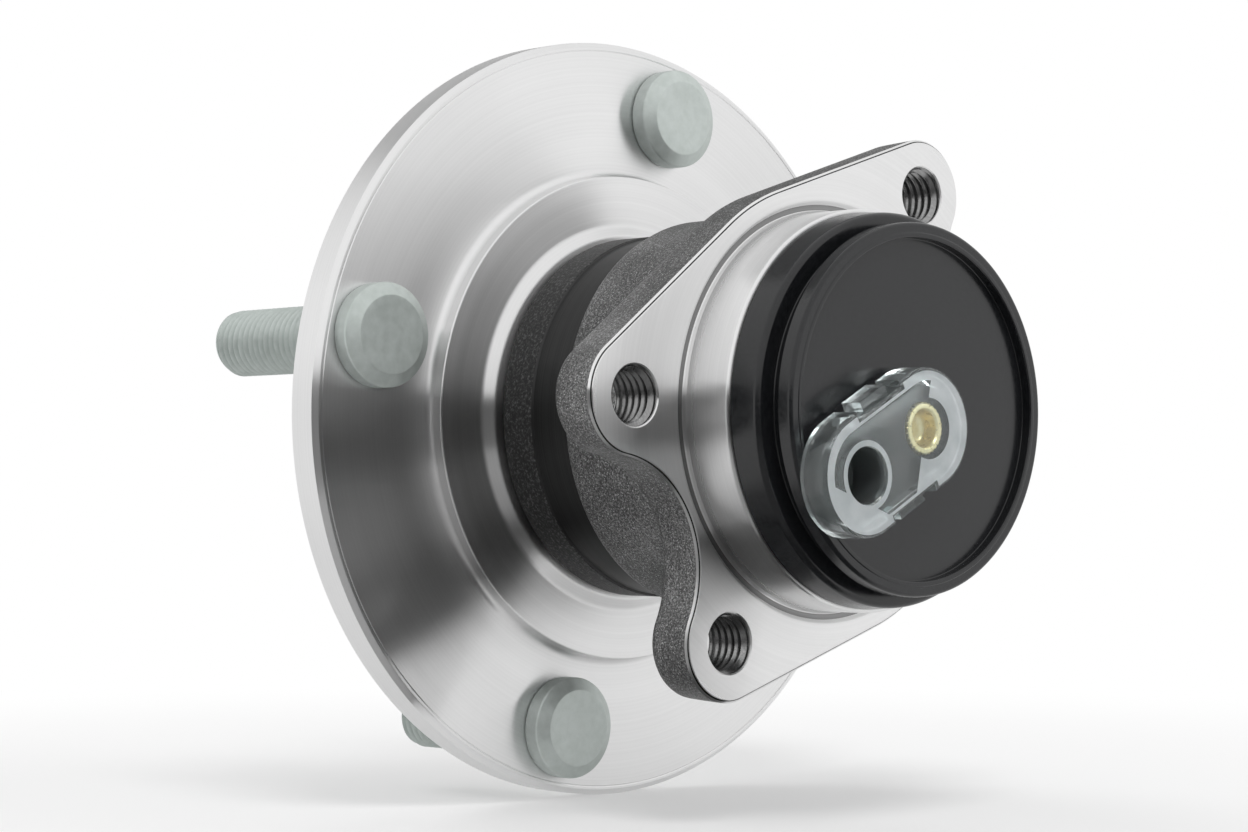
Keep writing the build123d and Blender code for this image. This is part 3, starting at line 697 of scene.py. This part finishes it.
paint(sheet_steel, "cap_sleeve")
paint(seal_rubber, "cap_o_ring")
cap_plastic = plain_finish("cap_plastic", (20, 21, 23), (27, 28, 30), 0.0, 0.22, 1500.0, 0.00001)
cap_radius, cap_draft, cap_groove, cap_upper, cap_rim = 33.2, 0.4, 29.2, 30.9, 28.3
rim_radius, rim_step, rim_rise = 29.2, 0.15, 0.1
sleeve_wall, skirt_wall, skirt_start = 0.9, 1.9, 65.3
groove_start, groove_end, cap_top, cap_floor, under_floor = 75.7, 78.2, 81.1, 79.4, 77.0
sleeve_bore = cap_bore - sleeve_wall
skirt_bore = sleeve_bore - skirt_wall
shell = rounded(
    [
        (sleeve_bore, skirt_start, 0.1), (sleeve_bore, spigot_end, 0), (cap_radius, spigot_end, 0.25),
        (cap_radius - cap_draft, groove_start, 1.0), (cap_groove, groove_start, 0.3),
        (cap_groove, groove_end, 0.3), (cap_upper, groove_end, 0.2), (cap_upper, cap_top, 1.0),
        (rim_radius, cap_top, 0.12),
        (rim_radius - rim_step, cap_top + rim_rise, 0.1), (cap_rim, cap_top + rim_rise, 0.3),
        (cap_rim, cap_floor, 0.15), (0, cap_floor), (0, under_floor),
        (skirt_bore, under_floor, 1.5), (skirt_bore, skirt_start, 0.2),
    ]
)
cap = solid("moulded_cap", *loft(circles(shell, 320)), [cap_plastic])

port_turn, port_orbit, insert_orbit, port_offset = math.radians(180 + mount_turn), 22.1, 5.5, 0.8
port_way = np.array([math.cos(port_turn), math.sin(port_turn)])
across = np.array([-port_way[1], port_way[0]])
port_spot, insert_spot = (orbit * port_way + port_offset * across for orbit in (port_orbit, insert_orbit))
seat_middle = (port_spot + insert_spot) / 2


def half_circle(centre, radius, start, steps=48):
    turns = np.linspace(start, start + math.pi, steps + 1)
    return centre + radius * np.stack([np.cos(turns), np.sin(turns)], axis=1)


seat_ends = ((port_spot, port_turn - math.pi / 2, -1), (insert_spot, port_turn + math.pi / 2, 1))


def oblong(radius):
    """Outline round the port and the insert: two half circles and the straight sides between them."""
    return np.concatenate([half_circle(centre, radius, start) for centre, start, way in seat_ends])


def capped(levels):
    """Points and faces of a closed solid through rings of equal count, with flat ends."""
    points, faces = loft(np.array(levels), loop=False)
    count = len(levels[0])
    ends = [list(range(count)), list(range(len(points) - count, len(points)))]
    return points, faces.tolist() + ends


def prism(name, outlines, depths, materials, skin=0):
    """A closed solid through flat outlines of equal count at rising depths."""
    return solid(name, *capped([ring_at(*level) for level in zip(outlines, depths)]), materials, skin)


def edge_levels(shape, radius, start, finish, edge, steps=6):
    """Outlines and depths of a shape whose inboard edge is rounded."""
    flats, depths = [shape(radius), shape(radius)], [start, finish - edge]
    for k in range(1, steps + 1):
        a = math.pi / 2 * k / steps
        flats.append(shape(radius - edge * (1 - math.cos(a))))
        depths.append(finish - edge * (1 - math.sin(a)))
    return flats, depths


pad_radius, pad_top, block_radius, block_top = 9.4, 81.4, 7.2, 85.2
port_radius, port_chamfer = 5.3, 0.3
insert_radius, insert_front, insert_back = 4.4, 78.6, 85.6
pad = prism("pad", *edge_levels(oblong, pad_radius, under_floor + 0.5, pad_top, 0.3, 4), [cap_plastic])
limit_start, limit_end, cut_start, cut_end = 70, 90, 60, 87
limit = [(0, limit_start), (cap_upper - 1, limit_start), (cap_upper - 1, limit_end), (0, limit_end)]
carve(pad, bore([(0, 0)], limit, [cap_plastic], steps=320), "INTERSECT")
carve(cap, pad, "UNION")
block = edge_levels(oblong, block_radius, under_floor + 0.8, block_top, 0.4, 4)
carve(cap, prism("block", *block, [cap_plastic]), "UNION")
carve(cap, bore([port_spot], [
    (0, cut_start), (port_radius, cut_start), (port_radius, block_top - port_chamfer),
    (port_radius + 2 * port_chamfer, block_top + port_chamfer), (0, block_top + port_chamfer)], [cap_plastic]))
carve(cap, bore([insert_spot], [
    (0, insert_front), (insert_radius - 0.1, insert_front), (insert_radius - 0.1, block_top - 0.9),
    (insert_radius + 0.15, block_top - 0.9), (insert_radius + 0.15, cut_end), (0, cut_end)], [cap_plastic]))
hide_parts("end_cap")
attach(cap, "housing")


# Screw insert. Turned brass with a knurled outside, moulded in the seat of the cap, which holds
# it by its teeth. The screw that fixes the sensor goes in its hole.

brass = plain_finish("brass", (232, 214, 160), (243, 229, 184), 0.7, 0.3, 900.0, 0.000005)
tooth_half, tooth_rise, tooth_count = 0.22, 0.34, 30
body_radius, screw_radius, screw_depth = insert_radius - 0.3, 3.0, 3.2
levels = []
for share, depth in (
    (0.02, insert_front + 0.3), (1.0, insert_front + 0.6), (1.0, insert_back - 0.25), (0.02, insert_back),
):
    foot = body_radius - 0.05
    tooth = [[foot, -tooth_half], [foot, tooth_half], [foot + tooth_rise * share, 0]]
    levels.append(ring_at(np.array(tooth), depth))
insert = solid("brass_insert", *capped(levels), [brass])
insert_place = np.array([insert_spot[0], 0, insert_spot[1]]) * MM
grow(insert, round_copies, Count=tooth_count, Centre=tuple(insert_place), Material=brass)
sleeve = rounded(
    [
        (0, insert_front), (body_radius, insert_front, 0.3), (body_radius, insert_back, 0.2),
        (screw_radius + 0.3, insert_back, 0.15), (screw_radius, insert_back - 0.4, 0.15),
        (screw_radius, insert_back - screw_depth, 1.2), (0, insert_back - screw_depth - 0.6),
    ]
)
carve(insert, solid("sleeve", *loft(circles(sleeve, 96) + insert_place), [brass]), "UNION")
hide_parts("sensor_insert")
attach(insert, "housing")


# Cover. A cup moulded in clear plastic, which keeps dirt out of the sensor port until the sensor
# is fitted. Its hollow plug sits in the port, and it pulls straight off.

clear_plastic, tree, shader, place = finish_of("clear_plastic", IOR=1.33, Transmission_Weight=0.96)
ripple = noise(tree, place, 200.0, 2.0)
feed(tree, shader, Base_Color=ramp(tree, ripple, 0.35, 0.65, [tint(232, 240, 240), tint(244, 249, 249)]),
     Roughness=remap(tree, ripple, 0.3, 0.7, 0.04, 0.1), Normal=bump(tree, ripple, 0.1, 0.0001))

frosted, tree, shader, place = finish_of("frosted_plastic", IOR=1.4, Roughness=0.4, Transmission_Weight=0.5)
haze = noise(tree, place, 240.0, 3.0)
feed(tree, shader, Base_Color=ramp(tree, haze, 0.35, 0.65, [tint(206, 214, 216), tint(228, 234, 236)]))
plastics, CLEAR, FROSTED = [clear_plastic, frosted], 0, 1

cover_radius, cover_wall, cover_roof, cover_edge = 10.0, 1.1, 1.1, 0.7
waist_length, waist_depth = 11.0, 1.1
cover_foot, cover_top = 81.55, 86.85
tab_half, tab_rise, tab_stand = 3.25, 4.0, 1.6
plug_radius, plug_bore, plug_end, plug_floor = 5.2, 4.6, 78.85, 0.6


def waisted(radius):
    """The rounded outline with a shallow recess in the middle of both long sides."""
    parts = []
    reach = waist_length / 2 + cover_radius - radius
    dip = radius - waist_depth
    for centre, start, way in seat_ends:
        parts.append(half_circle(centre, radius, start))
        for along, out in ((reach, radius), (reach, dip), (-reach, dip), (-reach, radius)):
            parts.append([seat_middle - way * along * port_way - way * out * across])
    return np.concatenate(parts)


def trimmed(flat, way, limit):
    """The part of a flat outline that lies no further than limit along way."""
    points = []
    for here, after in zip(flat, np.roll(flat, -1, axis=0)):
        a, b = here @ way - limit, after @ way - limit
        if a <= 0:
            points.append(here)
        if a * b < 0:
            points.append(here + (after - here) * a / (a - b))
    return np.array(points)


cover = prism("clear_cover", *edge_levels(waisted, cover_radius, cover_foot, cover_top, cover_edge), plastics)
cavity = edge_levels(waisted, cover_radius - cover_wall, cover_foot - 1, cover_top - cover_roof, 0.4)
carve(cover, prism("cavity", *cavity, plastics))
corners = [(-tab_half, -0.5), (tab_half, -0.5), (tab_half, tab_stand), (-tab_half, tab_stand)]
for side in (-1, 1):
    foot = seat_middle + side * (cover_radius - waist_depth) * across
    flat = np.array([foot + side * out * across + along * port_way for along, out in corners])
    carve(cover, prism("tab", [flat, flat], [cover_foot, cover_foot + tab_rise], plastics, CLEAR), "UNION")
carve(cover, bore([port_spot], [
    (0, plug_end), (plug_radius, plug_end), (plug_radius, cover_top - 0.3),
    (0, cover_top - 0.3)], plastics, CLEAR), "UNION")
carve(cover, bore([port_spot], [
    (0, plug_end + plug_floor), (plug_bore, plug_end + plug_floor), (plug_bore, cover_top - 0.2),
    (plug_bore + 0.3, cover_top + 0.3), (0, cover_top + 0.3)], plastics, CLEAR))

# The roof is polished over the seat, and etched outside that window and in a ring round the port.
etch_depth, etch_margin, window_radius, insert_window = 0.04, 0.6, 7.8, 5.0
etched_ring, right_way, low_way = (4.75, 5.7), np.array([1, -0.19]), np.array([-0.34, -1])
window = trimmed(oblong(window_radius), right_way, insert_spot @ right_way - 1.0)
window = trimmed(window, low_way, port_spot @ low_way + 4.4)
etched, through = (cover_top - etch_depth, cover_top + 1), (cover_top - 1, cover_top + 2)
zone = prism("etched_zone", [waisted(cover_radius - etch_margin)] * 2, etched, plastics, FROSTED)
carve(zone, prism("window", [window] * 2, through, plastics, FROSTED))


def box_section(inner, outer, depths):
    """Section of a tool between two radii and two depths."""
    return [(inner, depths[0]), (outer, depths[0]), (outer, depths[1]), (inner, depths[1])]


carve(zone, bore([insert_spot], box_section(0, insert_window, through), plastics, FROSTED))
carve(cover, zone)
carve(cover, bore([port_spot], box_section(*etched_ring, etched), plastics, FROSTED))
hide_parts("port_cover")
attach(cover, "cover")


# Studio. A pale floor touches the wheel flange, under three soft lamps and a white sky. Cards that
# only mirrored light sees lie on the floor beside the camera, and one stands at the far side.

def stage_piece(name, points, faces, material):
    mesh = bpy.data.meshes.new(name)
    mesh.from_pydata(points, [], faces)
    mesh.materials.append(material)
    piece = put_in_scene(name, mesh)
    return piece


def seen_rays(tree):
    """1 for what the camera sees, also in a mirror or through glass, and else 0."""
    rays = add(tree, "ShaderNodeLightPath").outputs
    plain = calc(tree, "MAXIMUM", rays["Is Camera Ray"], rays["Is Glossy Ray"])
    return calc(tree, "MAXIMUM", plain, rays["Is Transmission Ray"])


pale, tree, shader, place = finish_of("pale_floor", Roughness=0.9, Base_Color=(0.92, 0.92, 0.92, 1))
white = add(tree, "ShaderNodeEmission", {"Color": (1, 1, 1, 1), "Strength": 1.0})
away = add(tree, "ShaderNodeVectorMath", {0: place}, operation="LENGTH").outputs["Value"]
fade = remap(tree, away, 0.12, 0.32, 0.35, 1.0, interpolation_type="SMOOTHSTEP")
share = calc(tree, "MULTIPLY", fade, seen_rays(tree))
lifted = add(tree, "ShaderNodeMixShader", {0: share, 1: shader.outputs[0], 2: white.outputs[0]})
under = add(tree, "ShaderNodeBsdfTransparent")
behind = add(tree, "ShaderNodeNewGeometry").outputs["Backfacing"]
both = add(tree, "ShaderNodeMixShader", {0: behind, 1: lifted.outputs[0], 2: under.outputs[0]})
tree.links.new(both.outputs[0], tree.nodes["Material Output"].inputs["Surface"])
floor_height, floor_half = -flange_radius * MM - 0.0002, 3.0
floor_corners = [
    (x * floor_half, y * floor_half, floor_height) for x, y in ((-1, -1), (1, -1), (1, 1), (-1, 1))
]
stage_piece("floor", floor_corners, [(0, 1, 2, 3)], pale)

world = bpy.data.worlds.new("studio")
bpy.context.scene.world = world
world.use_nodes = True
tree = world.node_tree
background = tree.nodes["Background"]
background.inputs["Color"].default_value = (1, 1, 1, 1)
tree.links.new(calc(tree, "MULTIPLY_ADD", seen_rays(tree), 0.5, 0.5), background.inputs["Strength"])

lamp_aim = Vector((0, -0.03, 0))
for name, spot, width, power in (
    ("key_lamp", (-0.5, -0.9, 1.3), 0.7, 11), ("fill_lamp", (0.9, -1.0, 0.5), 0.8, 4),
    ("back_lamp", (0.2, 1.3, 0.9), 0.8, 6),
):
    data = bpy.data.lights.new(name, "AREA")
    data.shape = "DISK"
    data.size = width
    data.energy = power
    lamp = put_in_scene(name, data)
    lamp.location = spot
    lamp.rotation_euler = (lamp_aim - Vector(spot)).to_track_quat("-Z", "Y").to_euler()
    lamp.visible_glossy = False


def direction(azimuth, elevation):
    a, e = math.radians(azimuth), math.radians(elevation)
    return Vector((math.sin(a) * math.cos(e), -math.cos(a) * math.cos(e), math.sin(e)))


def card(name, shade, top, bottom, rows=8, reach=1.0, drop=0.066):
    """A bent card between two rows of (azimuth, elevation) directions, laid on the floor where they
    point down, and seen only in mirrored light."""
    points, wide = [], len(top)
    for row in range(rows + 1):
        for high, low in zip(top, bottom):
            azimuth, elevation = (h + (l - h) * row / rows for h, l in zip(high, low))
            fall = math.sin(math.radians(max(-elevation, 1)))
            points.append(direction(azimuth, elevation) * min(reach, drop / fall))
    faces = [
        (r * wide + k, r * wide + k + 1, (r + 1) * wide + k + 1, (r + 1) * wide + k)
        for r in range(rows) for k in range(wide - 1)
    ]
    piece = stage_piece(name, points, faces, shade)
    for flag in ("visible_camera", "visible_diffuse", "visible_shadow", "visible_transmission"):
        setattr(piece, flag, False)


dark = finish_of("dark_card", Roughness=1.0, Base_Color=(0.06, 0.06, 0.06, 1))[0]
mid_grey = finish_of("grey_card", Roughness=1.0, Base_Color=(0.3, 0.3, 0.3, 1))[0]
card("dark_card_side", dark,
     [(-80, 9), (-60, 9), (-40, 9), (-20, 7), (6, 4), (30, 0.5)],
     [(-80, -50), (-66, -54), (-52, -56), (-38, -55), (-22, -52), (-5, -46)])
card("grey_card_band", mid_grey,
     [(-80, -17), (-40, -11), (0, -5.6), (25, -2)],
     [(-80, -52), (-40, -36), (0, -18), (25, -7)], drop=0.064)
card("grey_card_above", mid_grey,
     [(120, 55), (160, 60), (200, 58)],
     [(128, 12), (160, 14), (190, 18)], rows=1)

# Camera, as fitted to the photo: where it stands, in degrees and metres from the frame's origin,
# and its focal length in the photo's own pixels.
photo_width, focal_pixels, sensor_width = 1248, 2966.8, 36
camera_azimuth, camera_elevation = -43.051, -1.503
distance, aside, above = 0.5475, 0.00656, 0.000469
camera_data = bpy.data.cameras.new("camera")
camera_data.sensor_width = sensor_width
camera_data.sensor_fit = "HORIZONTAL"
camera_data.lens = sensor_width * focal_pixels / photo_width
camera_data.clip_start, camera_data.clip_end = 0.01, 20
camera = put_in_scene("camera", camera_data)
bpy.context.scene.camera = camera
back = direction(camera_azimuth, camera_elevation)
right = Vector((math.cos(math.radians(camera_azimuth)), math.sin(math.radians(camera_azimuth)), 0))
up = back.cross(right)
camera.matrix_world = Matrix((
    (right.x, up.x, back.x, 0), (right.y, up.y, back.y, 0), (right.z, up.z, back.z, 0), (0, 0, 0, 1)
))
camera.location = right * aside + up * above + back * distance
bpy.context.scene.view_settings.view_transform = "Standard"
